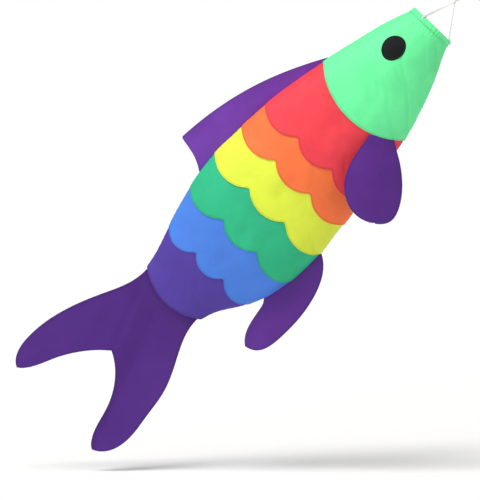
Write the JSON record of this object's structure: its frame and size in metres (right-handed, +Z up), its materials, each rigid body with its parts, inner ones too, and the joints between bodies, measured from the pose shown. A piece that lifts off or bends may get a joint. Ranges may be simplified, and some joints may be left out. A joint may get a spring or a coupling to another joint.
{
  "type": "fish windsock",
  "caption": "Cloth fish windsock with overlapping scalloped scale rows, hooped mouth, loose fins and a forked tail, hung from a small swivel by a cord bridle",
  "frame": {"origin": "centre of the swivel's hanging eye, where the windsock hangs from a hook or pin", "axes": "+X forward, the way the nose points; +Y to the fish's left, along the hanging eye's hole; +Z up, with the fish flying nose-up at 46 degrees"},
  "size_m": [1.0106, 0.2484, 1.0372],
  "materials": {
    "head_cloth": "thin woven polyester, satin",
    "red_cloth": "thin woven polyester, satin",
    "orange_cloth": "thin woven polyester, satin",
    "yellow_cloth": "thin woven polyester, satin",
    "green_cloth": "thin woven polyester, satin",
    "blue_cloth": "thin woven polyester, satin",
    "violet_cloth": "thin woven polyester, satin",
    "fin_cloth": "thin woven polyester, satin, hemmed edge",
    "eye_cloth": "thin woven polyester, applique",
    "bridle_cord": "braided polyester cord",
    "hoop_steel": "drawn spring wire",
    "ferrule_steel": "crimped sleeve",
    "swivel_steel": "satin nickel-plated steel"
  },
  "bodies": {
    "hanging_eye": {"swivel_hanging_eye": "swivel_steel"},
    "barrel": {"swivel_barrel": "swivel_steel"},
    "fish": {"swivel_lower_eye": "swivel_steel", "bridle_knot": "bridle_cord", "bridle_tie_right": "bridle_cord", "bridle_leg_right": "bridle_cord", "bridle_tie_left": "bridle_cord", "bridle_leg_left": "bridle_cord", "bridle_tie_bottom": "bridle_cord", "bridle_leg_bottom": "bridle_cord", "mouth_hoop": "hoop_steel", "hoop_ferrule": "ferrule_steel", "mouth_hem": "head_cloth", "head_panel_left": "head_cloth", "red_scale_row_left": "red_cloth", "orange_scale_row_left": "orange_cloth", "yellow_scale_row_left": "yellow_cloth", "green_scale_row_left": "green_cloth", "blue_scale_row_left": "blue_cloth", "rear_body_panel_left": "violet_cloth", "eye_patch_left": "eye_cloth", "head_panel_right": "head_cloth", "red_scale_row_right": "red_cloth", "orange_scale_row_right": "orange_cloth", "yellow_scale_row_right": "yellow_cloth", "green_scale_row_right": "green_cloth", "blue_scale_row_right": "blue_cloth", "rear_body_panel_right": "violet_cloth", "eye_patch_right": "eye_cloth"},
    "tail": {"tail_fin_ply_left": "fin_cloth", "tail_fin_ply_right": "fin_cloth"},
    "dorsal": {"dorsal_fin": "fin_cloth"},
    "anal": {"anal_fin": "fin_cloth"},
    "pectoral_left": {"pectoral_fin_left": "fin_cloth"},
    "pectoral_right": {"pectoral_fin_right": "fin_cloth"}
  },
  "joints": [
    {"name": "swivel_upper_spin", "type": "hinge", "parent": "hanging_eye", "child": "barrel", "pos_m": [0, 0, 0], "axis": [0.6947, 0, 0.7193], "continuous": true},
    {"name": "swivel_lower_spin", "type": "hinge", "parent": "barrel", "child": "fish", "pos_m": [0, 0, 0], "axis": [0.6947, 0, 0.7193], "continuous": true},
    {"name": "tail_sway", "type": "hinge", "parent": "fish", "child": "tail", "pos_m": [-0.58593, 0, -0.73273], "axis": [-0.7193, 0, 0.6947], "range_deg": [-30, 30]},
    {"name": "dorsal_fin_flop", "type": "hinge", "parent": "fish", "child": "dorsal", "pos_m": [-0.60423, 0, -0.39393], "axis": [0.7295, 0, 0.6839], "range_deg": [-75, 75], "stiffness_Nm_per_rad": 0.004},
    {"name": "anal_fin_flop", "type": "hinge", "parent": "fish", "child": "anal", "pos_m": [-0.43222, 0, -0.68654], "axis": [0.7694, 0, 0.6388], "range_deg": [-75, 75]},
    {"name": "pectoral_left_lift", "type": "hinge", "parent": "fish", "child": "pectoral_left", "pos_m": [-0.21443, 0.07159, -0.31994], "axis": [0.8727, -0.434, -0.2237], "range_deg": [0, 80]},
    {"name": "pectoral_right_lift", "type": "hinge", "parent": "fish", "child": "pectoral_right", "pos_m": [-0.1576, -0.04333, -0.3345], "axis": [-0.8727, -0.434, 0.2237], "range_deg": [0, 80]}
  ]
}
